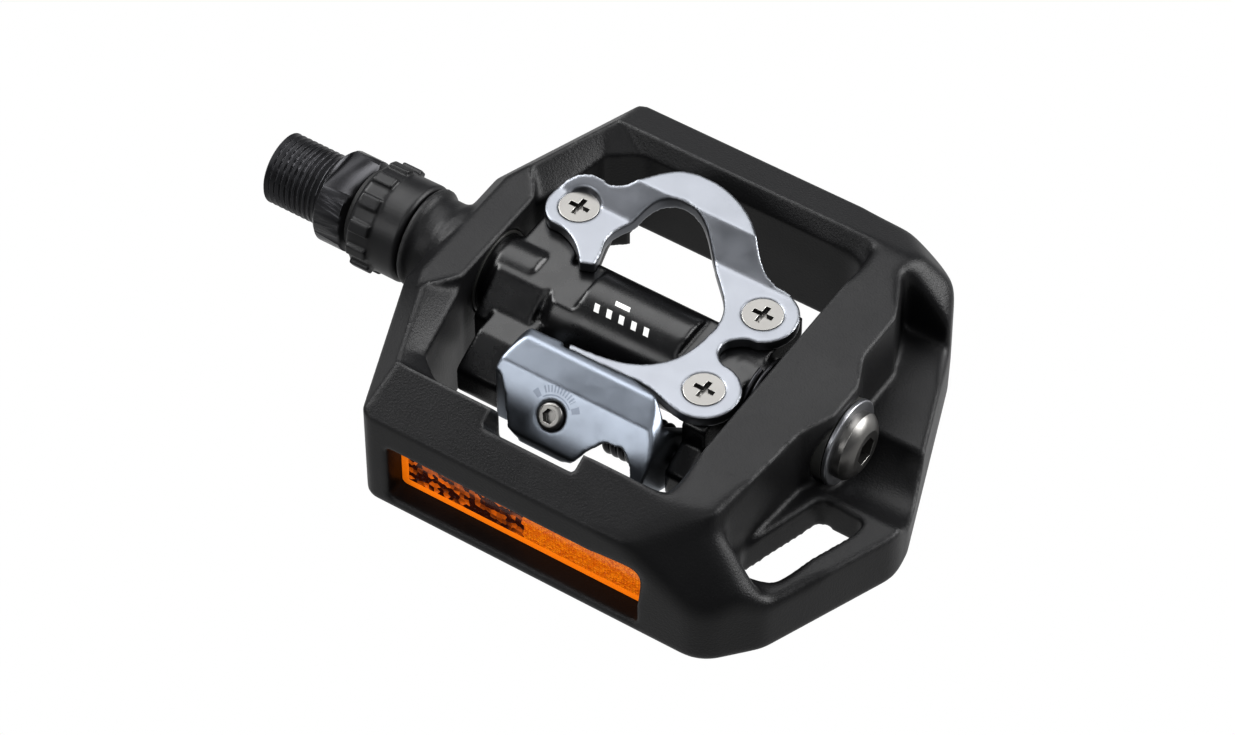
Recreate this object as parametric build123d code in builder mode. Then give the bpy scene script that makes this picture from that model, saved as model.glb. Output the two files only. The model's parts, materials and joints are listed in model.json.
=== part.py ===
"""Clipless pedal with a cage: a one-sided cleat binding that pops up inside a moulded platform.

Right-hand pedal, millimetres.  Origin: on the spindle axis, at the crank-side face of the wrench
flange.  +X runs outboard along the spindle, +Y is forward (the fixed cleat hook), +Z is up (cleat side).
"""
from build123d import *
import os
from math import hypot

os.makedirs("parts", exist_ok=True)

# ---------------------------------------------------------------- driving dimensions
# spindle
THREAD_R = 7.14          # 9/16 in x 20 TPI crank thread, major radius
THREAD_LEN = 13.0
FLANGE_R = 9.3
FLANGE_LEN = 6.5
FLATS = 15.0             # pedal wrench size
SHAFT_R = 5.0
SHAFT_SLIM_R = 3.5
SHAFT_STEP_X = 33.0      # where the shaft starts to taper
SHAFT_SLIM_X = 36.0
SHAFT_END_X = 92.5
TIP_THREAD_R = 2.5
TIP_THREAD_X = 84.8

# bearings: loose 3/32 in balls
BALL_R = 1.19
BALL_COUNT = 11
BALL_ORBIT_R = SHAFT_SLIM_R + BALL_R + 0.01
RACE_IN_R = BALL_ORBIT_R + BALL_R + 0.02
RACE_OUT_R = 6.3
INBOARD_BALLS_X = 39.0
OUTBOARD_BALLS_X = 82.5
RACE_X = (30.0, 86.0)
CONE_X = (84.9, 88.4)
LOCK_NUT_X = (88.6, 91.4)

# lock bolt and seal
SEAL_X = (6.9, 8.2)
BOLT_RING_X = (8.2, 13.4)
BOLT_SLEEVE_END = 19.5
BOLT_RING_R = 9.9
BOLT_TOOTH_R = 10.9
BOLT_TEETH = 12
BOLT_THREAD_END = 29.5

# cage
CAGE_Y = 46.7            # half width, front face to middle
CREST_Y = 36.5           # the crisp crest along the front and rear bars
CREST_Z = 11.0
EDGE_Z = 5.9             # top of the outer walls
CAGE_BOTTOM = -17.8
BAR_INNER_Y = 34.0
LIP_Z = 7.6              # where the inner chamfer meets the window's wall
WINDOW_X = (36.8, 97.2)
CROSSBAR_X = 109.8
RAIL_Z = -4.6
FLOOR_Z = -12.0
NOTCH_R = 10.0
NECK_X = 19.9
NECK_R = 8.8
NECK_RIM_R = 10.0
POCKET_X = (43.4, 98.0)
POCKET_Z = (-14.6, -0.6)
POCKET_DEPTH = 8.2
LENS_SINK = 4.6

# pivots of the cage on the binding body
NECK_BORE_R = 7.8
INBOARD_PIVOT_R = 7.95
INBOARD_BUSH_R = 8.6
INBOARD_PIVOT_X = (27.4, 38.4)
OUTBOARD_PIVOT_R = 7.6
OUTBOARD_BUSH_R = 8.4
OUTBOARD_PIVOT_X = (97.4, 112.9)
RUNNING_GAP = 0.05

# binding body and plate
BARREL_R = 9.5
BARREL_X = (51.2, 93.0)
PLATE_TOP = 10.0
PLATE_T = 2.5
HOOK_RISE = 4.0
SCREWS = ((45.2, 14.6), (88.4, 10.4), (89.2, -10.8))
SCREW_HEAD_R = 3.9
SCREW_R = 2.0
SCREW_LEN = 8.0

# rear claw
PIVOT_Y = -17.0
PIVOT_Z = -4.0
PIN_R = 2.0
CLAW_X = (53.2, 88.2)
CLAW_T = 2.6
CLAW_LIP = (-15.4, 10.4)
CLAW_RIDGE = (-23.8, 8.9)
CLAW_TAIL = (-31.4, 0.4)
TENSION_X = 67.0
TENSION_R = 2.0
WIRE_R = 0.8
SPRING_R = 4.3
SPRING_X = (74.4, 84.4)
SPRING_X_LEFT = (57.0, 61.8)

# outboard bolt
CAGE_BOLT_R = 4.0
CAGE_BOLT_HEAD_R = 6.7
CAGE_BOLT_FACE_X = 117.3
WASHER_X = (113.0, 113.9)


# ---------------------------------------------------------------- spindle
with BuildPart() as spindle_axle:
    with BuildSketch(Plane.XZ):
        with BuildLine():
            Polyline(
                (-THREAD_LEN, 0),
                (-THREAD_LEN, THREAD_R - 0.6),
                (-THREAD_LEN + 0.6, THREAD_R),
                (0, THREAD_R),
                (0, FLANGE_R - 0.7),
                (0.7, FLANGE_R),
                (FLANGE_LEN - 0.5, FLANGE_R),
                (FLANGE_LEN, FLANGE_R - 0.5),
                (FLANGE_LEN, SHAFT_R),
                (SHAFT_STEP_X, SHAFT_R),
                (SHAFT_SLIM_X, SHAFT_SLIM_R),
                (TIP_THREAD_X, SHAFT_SLIM_R),
                (TIP_THREAD_X, TIP_THREAD_R),
                (SHAFT_END_X - 0.6, TIP_THREAD_R),
                (SHAFT_END_X, TIP_THREAD_R - 0.6),
                (SHAFT_END_X, 0),
                close=True,
            )
        make_face()
    revolve(axis=Axis.X)
    # two wrench flats
    for side in (1, -1):
        with BuildSketch(Plane.XY.offset(side * FLATS / 2)):
            with Locations((FLANGE_LEN / 2 + 0.5, 0)):
                Rectangle(FLANGE_LEN, 30)
        extrude(amount=side * 5, mode=Mode.SUBTRACT)
    # hex socket in the crank-side end
    with BuildSketch(Plane.YZ.offset(-THREAD_LEN)):
        RegularPolygon(radius=3.0, side_count=6, major_radius=False)
    extrude(amount=8, mode=Mode.SUBTRACT)
spindle_axle.part.label = "spindle_axle"
export_step(spindle_axle.part, "parts/spindle_axle.step")

with BuildPart() as outboard_cone:
    with BuildSketch(Plane.XZ):
        with BuildLine():
            Polyline(
                (CONE_X[0], TIP_THREAD_R),
                (CONE_X[0], SHAFT_SLIM_R - 0.1),
                (CONE_X[0] + 1.2, 4.6),
                (CONE_X[1], 4.6),
                (CONE_X[1], TIP_THREAD_R),
                close=True,
            )
        make_face()
    revolve(axis=Axis.X)
outboard_cone.part.label = "outboard_cone"
export_step(outboard_cone.part, "parts/outboard_cone.step")

with BuildPart() as cone_lock_nut:
    with BuildSketch(Plane.YZ.offset(LOCK_NUT_X[0])):
        RegularPolygon(radius=4.0, side_count=6, major_radius=False)
        Circle(TIP_THREAD_R, mode=Mode.SUBTRACT)
    extrude(amount=LOCK_NUT_X[1] - LOCK_NUT_X[0])
cone_lock_nut.part.label = "cone_lock_nut"
export_step(cone_lock_nut.part, "parts/cone_lock_nut.step")


# ---------------------------------------------------------------- bearing balls
with BuildPart() as inboard_balls:
    with Locations(Plane.YZ.offset(INBOARD_BALLS_X)):
        with PolarLocations(BALL_ORBIT_R, BALL_COUNT):
            Sphere(BALL_R)
inboard_balls.part.label = "inboard_balls"
export_step(inboard_balls.part, "parts/inboard_balls.step")

with BuildPart() as outboard_balls:
    with Locations(Plane.YZ.offset(OUTBOARD_BALLS_X)):
        with PolarLocations(BALL_ORBIT_R, BALL_COUNT):
            Sphere(BALL_R)
outboard_balls.part.label = "outboard_balls"
export_step(outboard_balls.part, "parts/outboard_balls.step")

# ---------------------------------------------------------------- axle unit: race, lock bolt, seal
with BuildPart() as race_sleeve:
    with BuildSketch(Plane.YZ.offset(RACE_X[0])):
        Circle(RACE_OUT_R)
        Circle(RACE_IN_R, mode=Mode.SUBTRACT)
    extrude(amount=RACE_X[1] - RACE_X[0])
race_sleeve.part.label = "race_sleeve"
export_step(race_sleeve.part, "parts/race_sleeve.step")

with BuildPart() as lock_bolt:
    with BuildSketch(Plane.XZ):
        with BuildLine():
            Polyline(
                (BOLT_RING_X[0], SHAFT_R + RUNNING_GAP),
                (BOLT_RING_X[0], BOLT_RING_R - 0.5),
                (BOLT_RING_X[0] + 0.5, BOLT_RING_R),
                (BOLT_SLEEVE_END - 0.6, BOLT_RING_R + 0.1),
                (BOLT_SLEEVE_END, BOLT_RING_R - 0.5),
                (BOLT_SLEEVE_END, RACE_OUT_R),
                (BOLT_THREAD_END, RACE_OUT_R),
                (BOLT_THREAD_END, SHAFT_R + RUNNING_GAP),
                close=True,
            )
        make_face()
    revolve(axis=Axis.X)
    # castellated ring that the lock bolt wrench grips
    with BuildSketch(Plane.YZ.offset(BOLT_RING_X[0] + 0.9)):
        Circle(BOLT_RING_R + 0.2)
        with PolarLocations(BOLT_RING_R + 0.25, BOLT_TEETH):
            RectangleRounded(2 * (BOLT_TOOTH_R - BOLT_RING_R - 0.25), 2.6, 0.35)
        Circle(BOLT_RING_R - 1.0, mode=Mode.SUBTRACT)
    extrude(amount=BOLT_RING_X[1] - BOLT_RING_X[0] - 0.9)
lock_bolt.part.label = "lock_bolt"
export_step(lock_bolt.part, "parts/lock_bolt.step")

with BuildPart() as dust_seal:
    with BuildSketch(Plane.YZ.offset(SEAL_X[0])):
        Circle(8.3)
        Circle(SHAFT_R + RUNNING_GAP, mode=Mode.SUBTRACT)
    extrude(amount=SEAL_X[1] - SEAL_X[0])
    fillet(dust_seal.edges().filter_by(GeomType.CIRCLE).sort_by(Axis.X)[:2], 0.3)
dust_seal.part.label = "dust_seal"
export_step(dust_seal.part, "parts/dust_seal.step")

# ---------------------------------------------------------------- cage
OUTLINE = (
    (38.3, -CAGE_Y),
    (111.3, -CAGE_Y),
    (119.4, -37.6),
    (130.6, -10.5),
    (129.8, -5.0),
    (115.6, 33.0),
    (108.8, CAGE_Y),
    (38.3, CAGE_Y),
    (26.0, 15.0),
    (26.0, -15.0),
)
WINDOW = (
    (WINDOW_X[0], -12.0),
    (37.4, -14.0),
    (41.0, -30.0),
    (46.0, -BAR_INNER_Y),
    (WINDOW_X[1], -BAR_INNER_Y),
    (WINDOW_X[1], BAR_INNER_Y),
    (46.0, BAR_INNER_Y),
    (41.0, 30.0),
    (37.4, 14.0),
    (WINDOW_X[0], 12.0),
)
CREST = (
    (WINDOW_X[0], -12.0),
    (32.3, -18.0),
    (38.3, -33.4),
    (39.5, -CREST_Y),
    (WINDOW_X[1], -CREST_Y),
    (WINDOW_X[1], CREST_Y),
    (39.5, CREST_Y),
    (38.3, 33.4),
    (32.3, 18.0),
    (WINDOW_X[0], 12.0),
)
SADDLE_Z = 9.9           # the low saddle over the inboard pivot
BAR_SLOPE = (CREST_Z - EDGE_Z) / (CAGE_Y - CREST_Y)
SIDE_RUN = 4.8           # the inboard bevel runs this far in while it climbs to the crest
FLANK = (38.3 - 26.0, CAGE_Y - 15.0)
FLANK_OUT = (-FLANK[1] / hypot(*FLANK), FLANK[0] / hypot(*FLANK))


def above(origin, normal):
    """A plane for cutting away everything on the side that its normal points to."""
    return Plane(origin=origin, z_dir=normal)


with BuildPart() as cage:
    with BuildSketch(Plane.XY.offset(CAGE_BOTTOM)) as outline:
        with BuildLine():
            Polyline(*OUTLINE, close=True)
        make_face()
        front_corners = outline.vertices().filter_by_position(Axis.X, 105, 135)
        fillet(front_corners.filter_by_position(Axis.Y, 0, 60), 13.0)
        rear_corners = outline.vertices().filter_by_position(Axis.X, 111, 135)
        fillet(rear_corners.filter_by_position(Axis.Y, -60, 0), 9.0)
        fillet(outline.vertices().filter_by_position(Axis.X, 38, 39), 3.0)
    extrude(amount=CREST_Z - CAGE_BOTTOM)
    fillet(cage.edges().group_by(Axis.Z)[0], 2.2)

    # front and rear bars fall away outwards from their crests
    for side in (1, -1):
        with BuildSketch(Plane.YZ):
            with BuildLine():
                Polyline(
                    (side * CREST_Y, CREST_Z),
                    (side * (CAGE_Y + 2), EDGE_Z - 2 * BAR_SLOPE),
                    (side * (CAGE_Y + 2), CREST_Z + 5),
                    (side * CREST_Y, CREST_Z + 5),
                    close=True,
                )
            make_face()
        extrude(amount=140, both=True, mode=Mode.SUBTRACT)

    # outboard end: each corner rolls over, then everything falls to the low rail
    for side, bend_x in ((1, 98.0), (-1, 94.6)):
        with BuildSketch(above((bend_x, side * CAGE_Y, EDGE_Z), (0.672, side * 1.188, 1.0))):
            Rectangle(90, 90)
        extrude(amount=40, mode=Mode.SUBTRACT)
    with BuildSketch(Plane.XZ):
        with BuildLine():
            Polyline((104.6, CREST_Z), (119.2, RAIL_Z), (140, RAIL_Z), (140, 20), (104.6, 20), close=True)
        make_face()
    extrude(amount=60, both=True, mode=Mode.SUBTRACT)
    with BuildSketch(Plane.XY.offset(RAIL_Z)) as rail_pocket:
        with BuildLine():
            Polyline(
                (WINDOW_X[1], -BAR_INNER_Y),
                (109.0, -BAR_INNER_Y),
                (119.0, -36.0),
                (140.0, -36.0),
                (140.0, 33.0),
                (112.0, BAR_INNER_Y),
                (WINDOW_X[1], BAR_INNER_Y),
                close=True,
            )
        make_face()
        fillet(rail_pocket.vertices().filter_by_position(Axis.X, 108, 113), 3.0)
    extrude(amount=30, mode=Mode.SUBTRACT)

    # inboard end: bevels outside, and the saddle over the pivot
    for side in (1, -1):
        flank_normal = (FLANK_OUT[0] * 5.1, side * FLANK_OUT[1] * 5.1, SIDE_RUN)
        with BuildSketch(above((26.0, side * 15.0, EDGE_Z), flank_normal)):
            Rectangle(120, 120)
        extrude(amount=30, mode=Mode.SUBTRACT)
    with BuildSketch(above((26.0, 0, EDGE_Z), (-4.0, 0, 3.6))):
        Rectangle(60, 60)
    extrude(amount=30, mode=Mode.SUBTRACT)
    with BuildSketch(Plane.XY.offset(SADDLE_Z)):
        with BuildLine():
            Polyline(
                (20.0, -24.0),
                (31.0, -19.6),
                (WINDOW_X[0], -12.0),
                (WINDOW_X[0] + 2, 0),
                (WINDOW_X[0], 12.0),
                (31.0, 19.6),
                (20.0, 24.0),
                close=True,
            )
        make_face()
    extrude(amount=6, mode=Mode.SUBTRACT)

    # the window, with its chamfered lip up to the crest
    with BuildSketch(Plane.XY.offset(CAGE_BOTTOM - 1)) as window:
        with BuildLine():
            Polyline(*WINDOW, close=True)
        make_face()
        fillet(window.vertices().filter_by_position(Axis.X, 45, 99), 5.0)
    extrude(amount=LIP_Z - CAGE_BOTTOM + 1 + 0.01, mode=Mode.SUBTRACT)
    with BuildSketch(Plane.XY.offset(LIP_Z)):
        with BuildLine():
            Polyline(*WINDOW, close=True)
        make_face()
    with BuildSketch(Plane.XY.offset(CREST_Z)):
        with BuildLine():
            Polyline(*CREST, close=True)
        make_face()
    loft(ruled=True, mode=Mode.SUBTRACT)

    # undersides: bevelled bars and a hollow under the outboard floor
    for side in (1, -1):
        with BuildSketch(Plane.YZ.offset(43.0)):
            with BuildLine():
                Polyline(
                    (side * (BAR_INNER_Y - 1), -11.3),
                    (side * 38.5, CAGE_BOTTOM),
                    (side * 38.5, CAGE_BOTTOM - 2),
                    (side * (BAR_INNER_Y - 1), CAGE_BOTTOM - 2),
                    close=True,
                )
            make_face()
        extrude(amount=WINDOW_X[1] - 43.0, mode=Mode.SUBTRACT)
    with BuildSketch(Plane.XY.offset(CAGE_BOTTOM)) as hollow:
        with BuildLine():
            Polyline(
                (90.0, -33.0),
                (112.5, -33.0),
                (125.0, -10.5),
                (124.2, -5.0),
                (110.0, 33.0),
                (90.0, 33.0),
                close=True,
            )
        make_face()
        fillet(hollow.vertices().filter_by_position(Axis.X, 105, 130), 3.0)
    extrude(amount=FLOOR_Z - CAGE_BOTTOM, mode=Mode.SUBTRACT)

    # relief in the rear bar for a hex key on the tension screw
    with BuildSketch(Plane.YZ.offset(60.0)):
        with BuildLine():
            Polyline((-40.0, 12.0), (-40.0, 9.4), (-33.0, -1.0), (-33.0, 12.0), close=True)
        make_face()
    extrude(amount=20, mode=Mode.SUBTRACT)

    # crossbar with its boss round the outboard pivot
    with BuildSketch(Plane.XY.offset(FLOOR_Z)) as crossbar:
        with BuildLine():
            Polyline(
                (WINDOW_X[1], -CREST_Y),
                (107.6, -CREST_Y),
                (CROSSBAR_X, -11.0),
                (OUTBOARD_PIVOT_X[1], -4.0),
                (OUTBOARD_PIVOT_X[1], 4.0),
                (CROSSBAR_X, 11.0),
                (CROSSBAR_X, 22.0),
                (106.8, 29.0),
                (103.0, CREST_Y),
                (WINDOW_X[1], CREST_Y),
                close=True,
            )
        make_face()
        fillet(crossbar.vertices().filter_by_position(Axis.X, 106, 114), 2.0)
    extrude(amount=CREST_Z - FLOOR_Z)

    # openings: strap slot in the floor, key notch across the rail, pivot bores
    with BuildSketch(Plane.XY.offset(CAGE_BOTTOM)) as slot:
        with BuildLine():
            Polyline(
                (108.6, -28.5),
                (114.3, -10.4),
                (124.2, -10.8),
                (123.4, -15.2),
                (117.2, -31.4),
                (111.6, -33.0),
                close=True,
            )
        make_face()
        fillet(slot.vertices(), 1.6)
    extrude(amount=30, mode=Mode.SUBTRACT)
    with BuildSketch(Plane.YZ.offset(OUTBOARD_PIVOT_X[1])):
        Circle(NOTCH_R)
    extrude(amount=30, mode=Mode.SUBTRACT)
    with BuildSketch(Plane.YZ.offset(90)):
        Circle(OUTBOARD_BUSH_R)
    extrude(amount=40, mode=Mode.SUBTRACT)

    # neck that shrouds the inboard pivot
    with BuildSketch(Plane.XZ):
        with BuildLine():
            Polyline(
                (NECK_X, NECK_BORE_R),
                (NECK_X, NECK_RIM_R - 0.4),
                (NECK_X + 0.4, NECK_RIM_R),
                (NECK_X + 1.0, NECK_RIM_R),
                (NECK_X + 1.8, NECK_R + 0.25),
                (NECK_X + 2.8, NECK_R),
                (25.2, NECK_R),
                (27.0, 9.5),
                (30.0, 9.5),
                (30.0, NECK_BORE_R),
                close=True,
            )
        make_face()
    revolve(axis=Axis.X)
    with BuildSketch(Plane.YZ.offset(NECK_X - 1)):
        Circle(NECK_BORE_R)
    extrude(amount=20, mode=Mode.SUBTRACT)
    with BuildSketch(Plane.YZ.offset(INBOARD_PIVOT_X[0])):
        Circle(INBOARD_BUSH_R)
    extrude(amount=20, mode=Mode.SUBTRACT)

    # reflector pockets in the front and rear faces
    for side in (1, -1):
        with BuildSketch(Plane.XZ.offset(-side * CAGE_Y)):
            with Locations(((POCKET_X[0] + POCKET_X[1]) / 2, (POCKET_Z[0] + POCKET_Z[1]) / 2)):
                RectangleRounded(POCKET_X[1] - POCKET_X[0], POCKET_Z[1] - POCKET_Z[0], 1.2)
        extrude(amount=side * POCKET_DEPTH, mode=Mode.SUBTRACT)
cage.part.label = "cage"
export_step(cage.part, "parts/cage.step")

for bush_name, bush_x, bore_r, outer_r in (
    ("inboard_bushing", (INBOARD_PIVOT_X[0], 36.8), INBOARD_PIVOT_R + RUNNING_GAP, INBOARD_BUSH_R),
    ("outboard_bushing", (97.6, 112.7), OUTBOARD_PIVOT_R + RUNNING_GAP, OUTBOARD_BUSH_R),
):
    with BuildPart() as bushing:
        with BuildSketch(Plane.YZ.offset(bush_x[0])):
            Circle(outer_r)
            Circle(bore_r, mode=Mode.SUBTRACT)
        extrude(amount=bush_x[1] - bush_x[0])
    bushing.part.label = bush_name
    export_step(bushing.part, f"parts/{bush_name}.step")

# ---------------------------------------------------------------- reflectors
LENS_T = 2.0
for end_name, side in (("rear", -1), ("front", 1)):
    middle = ((POCKET_X[0] + POCKET_X[1]) / 2, (POCKET_Z[0] + POCKET_Z[1]) / 2)
    width = POCKET_X[1] - POCKET_X[0]
    height = POCKET_Z[1] - POCKET_Z[0]
    with BuildPart() as lens:
        with BuildSketch(Plane.XZ.offset(-side * (CAGE_Y - LENS_SINK))):
            with Locations(middle):
                RectangleRounded(width - 0.2, height - 0.2, 1.1)
        extrude(amount=side * LENS_T)
    lens.part.label = f"{end_name}_reflector_lens"
    export_step(lens.part, f"parts/{end_name}_reflector_lens.step")
    with BuildPart() as holder:
        with BuildSketch(Plane.XZ.offset(-side * (CAGE_Y - LENS_SINK - LENS_T))):
            with Locations(middle):
                RectangleRounded(width - 0.2, height - 0.2, 1.1)
        extrude(amount=side * (POCKET_DEPTH - LENS_SINK - LENS_T))
    holder.part.label = f"{end_name}_reflector_holder"
    export_step(holder.part, f"parts/{end_name}_reflector_holder.step")

# ---------------------------------------------------------------- binding body
SHOULDER = ((20.5, 7.4), (-4.5, 7.4), (-12.5, 1.5), (-12.5, -8.6), (8.0, -8.6), (20.5, 2.5))
OUTBOARD_BLOCK = (
    (16.2, 7.4), (-13.6, 7.4), (-13.6, 2.2), (-9.0, -3.0), (-9.0, -8.6), (8.0, -8.6), (16.2, 2.5)
)
LUG_SEAT = ((0.0, 7.4), (-17.6, 7.4), (-17.6, 1.0), (-12.0, -6.0), (0.0, -6.0))
EAR = ((-6.0, 3.0), (-16.0, 3.0), (-23.5, -1.0), (-23.5, -7.0), (-18.0, -9.5), (-6.0, -8.0))
BODY_END_X = 93.6
with BuildPart() as binding_body:
    # barrel with a domed inboard end
    with BuildSketch(Plane.YZ.offset(BARREL_X[0])):
        Circle(BARREL_R)
    extrude(amount=BARREL_X[1] - BARREL_X[0])
    fillet(binding_body.edges().filter_by(GeomType.CIRCLE).sort_by(Axis.X)[0], 2.6)
    with BuildSketch(Plane.YZ.offset(INBOARD_PIVOT_X[1])):
        Circle(8.2)
    extrude(amount=BARREL_X[0] + 4 - INBOARD_PIVOT_X[1])
    for block_x, profile, corner in (
        ((39.6, 50.4), SHOULDER, 1.2),
        ((84.0, BODY_END_X), OUTBOARD_BLOCK, 1.2),
        ((88.8, BODY_END_X), LUG_SEAT, 0.8),
        ((43.0, 52.4), EAR, 1.5),
        ((88.8, BODY_END_X), EAR, 1.5),
    ):
        with BuildSketch(Plane.YZ.offset(block_x[0])) as block:
            with BuildLine():
                Polyline(*profile, close=True)
            make_face()
            fillet(block.vertices(), corner)
        extrude(amount=block_x[1] - block_x[0])
    # flats on the barrel's crown under the plate
    for flat_x in ((46.0, 57.6), (79.6, 96.0)):
        with BuildSketch(Plane.YZ.offset(flat_x[0])):
            with Locations((0, 9.4)):
                Rectangle(20, 4)
        extrude(amount=flat_x[1] - flat_x[0], mode=Mode.SUBTRACT)
    # pivots: inboard neck and journal, outboard journal
    with BuildSketch(Plane.XZ):
        with BuildLine():
            Polyline(
                (BOLT_SLEEVE_END, 0),
                (BOLT_SLEEVE_END, NECK_BORE_R - 0.3),
                (INBOARD_PIVOT_X[0] + 0.2, NECK_BORE_R - 0.3),
                (INBOARD_PIVOT_X[0] + 0.2, INBOARD_PIVOT_R),
                (INBOARD_PIVOT_X[1] + 1.0, INBOARD_PIVOT_R),
                (INBOARD_PIVOT_X[1] + 1.0, 0),
                close=True,
            )
        make_face()
    revolve(axis=Axis.X)
    with BuildSketch(Plane.YZ.offset(90)):
        Circle(OUTBOARD_PIVOT_R)
    extrude(amount=OUTBOARD_PIVOT_X[1] + 0.1 - 90)
    # bore for the axle unit, and the threaded hole for the cage bolt
    with BuildSketch(Plane.YZ.offset(BOLT_SLEEVE_END)):
        Circle(RACE_OUT_R)
    extrude(amount=94.0 - BOLT_SLEEVE_END, mode=Mode.SUBTRACT)
    with BuildSketch(Plane.YZ.offset(OUTBOARD_PIVOT_X[1] + 0.1)):
        Circle(CAGE_BOLT_R)
    extrude(amount=-13.0, mode=Mode.SUBTRACT)
    # screw holes and pin hole
    for screw_x, screw_y in SCREWS:
        with BuildSketch(Plane.XY.offset(PLATE_TOP)):
            with Locations((screw_x, screw_y)):
                Circle(SCREW_R)
        extrude(amount=-SCREW_LEN, mode=Mode.SUBTRACT)
    with BuildSketch(Plane.YZ.offset(40)):
        with Locations((PIVOT_Y, PIVOT_Z)):
            Circle(PIN_R)
    extrude(amount=60, mode=Mode.SUBTRACT)
binding_body.part.label = "binding_body"
export_step(binding_body.part, "parts/binding_body.step")

# ---------------------------------------------------------------- front binding plate
with BuildPart() as front_binding_plate:
    with BuildSketch(Plane.XY.offset(PLATE_TOP - PLATE_T)):
        with BuildLine():
            # round the inboard lug and out along the hook's outer edge
            ThreePointArc((42.6, 8.6), (38.8, 14.6), (46.4, 20.9))
            Spline(
                (46.4, 20.9),
                (50.8, 21.6),
                (54.0, 25.2),
                (58.0, 29.4),
                (63.4, 30.7),
                (70.6, 29.2),
                (77.6, 24.6),
                (82.4, 19.6),
                (88.0, 17.3),
            )
            # outboard lug, the web's cut-out and the rear lug
            ThreePointArc((88.0, 17.3), (95.3, 10.4), (91.0, 4.0))
            Spline((91.0, 4.0), (87.6, 2.6), (86.2, 0.0), (87.0, -2.4), (90.2, -3.9))
            ThreePointArc((90.2, -3.9), (96.1, -11.8), (88.6, -17.8))
            # tongue in front of the claw
            Spline((88.6, -17.8), (84.6, -17.0), (80.6, -15.9), (76.0, -15.8), (70.7, -16.0))
            Line((70.7, -16.0), (63.2, -16.0))
            Line((63.2, -16.0), (62.5, -14.8))
            Spline((62.5, -14.8), (69.2, -14.2), (75.0, -12.6), (80.2, -8.2), (82.4, -2.0), (82.8, 3.0))
            # inside of the hook, and the prong over the barrel's end
            Spline(
                (82.8, 3.0),
                (80.8, 9.0),
                (76.2, 14.0),
                (71.8, 18.6),
                (67.8, 22.0),
                (62.8, 23.3),
                (58.2, 21.4),
                (55.8, 16.6),
                (54.0, 11.4),
                (55.2, 6.6),
                (55.6, 3.8),
            )
            Line((55.6, 3.8), (53.0, 2.8))
            Spline((53.0, 2.8), (49.6, 6.4), (46.4, 8.2), (42.6, 8.6))
        make_face()
    extrude(amount=PLATE_T + HOOK_RISE)
    # side view: flat plate at the back, rising into the raised hook at the front
    with BuildSketch(Plane.YZ.offset(30)):
        with BuildLine():
            Polyline(
                (-30, PLATE_TOP - PLATE_T),
                (-30, PLATE_TOP),
                (16.5, PLATE_TOP),
                (23.0, PLATE_TOP + HOOK_RISE),
                (34.0, PLATE_TOP + HOOK_RISE),
                (34.0, PLATE_TOP + HOOK_RISE - PLATE_T),
                (24.0, PLATE_TOP + HOOK_RISE - PLATE_T),
                (17.4, PLATE_TOP - PLATE_T),
                close=True,
            )
        make_face()
    extrude(amount=80, mode=Mode.INTERSECT)
    for screw_x, screw_y in SCREWS:
        with Locations(Plane.XY.offset(PLATE_TOP).location * Location((screw_x, screw_y, 0))):
            CounterSinkHole(radius=SCREW_R + 0.1, counter_sink_radius=SCREW_HEAD_R + 0.1, depth=6)
front_binding_plate.part.label = "front_binding_plate"
export_step(front_binding_plate.part, "parts/front_binding_plate.step")

with BuildPart() as plate_screws:
    for screw_x, screw_y in SCREWS:
        with BuildSketch(Plane.XZ.offset(-screw_y)):
            with BuildLine():
                Polyline(
                    (screw_x, PLATE_TOP - 0.1),
                    (screw_x + SCREW_HEAD_R, PLATE_TOP - 0.1),
                    (screw_x + SCREW_R, PLATE_TOP - 0.1 - (SCREW_HEAD_R - SCREW_R)),
                    (screw_x + SCREW_R, PLATE_TOP - SCREW_LEN + 0.4),
                    (screw_x, PLATE_TOP - SCREW_LEN + 0.4),
                    close=True,
                )
            make_face()
        revolve(axis=Axis((screw_x, screw_y, 0), (0, 0, 1)))
        with BuildSketch(Plane.XY.offset(PLATE_TOP)):
            with Locations((screw_x, screw_y)):
                Rectangle(4.2, 1.0)
                Rectangle(1.0, 4.2)
        extrude(amount=-1.3, mode=Mode.SUBTRACT)
plate_screws.part.label = "plate_screws"
export_step(plate_screws.part, "parts/plate_screws.step")

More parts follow.
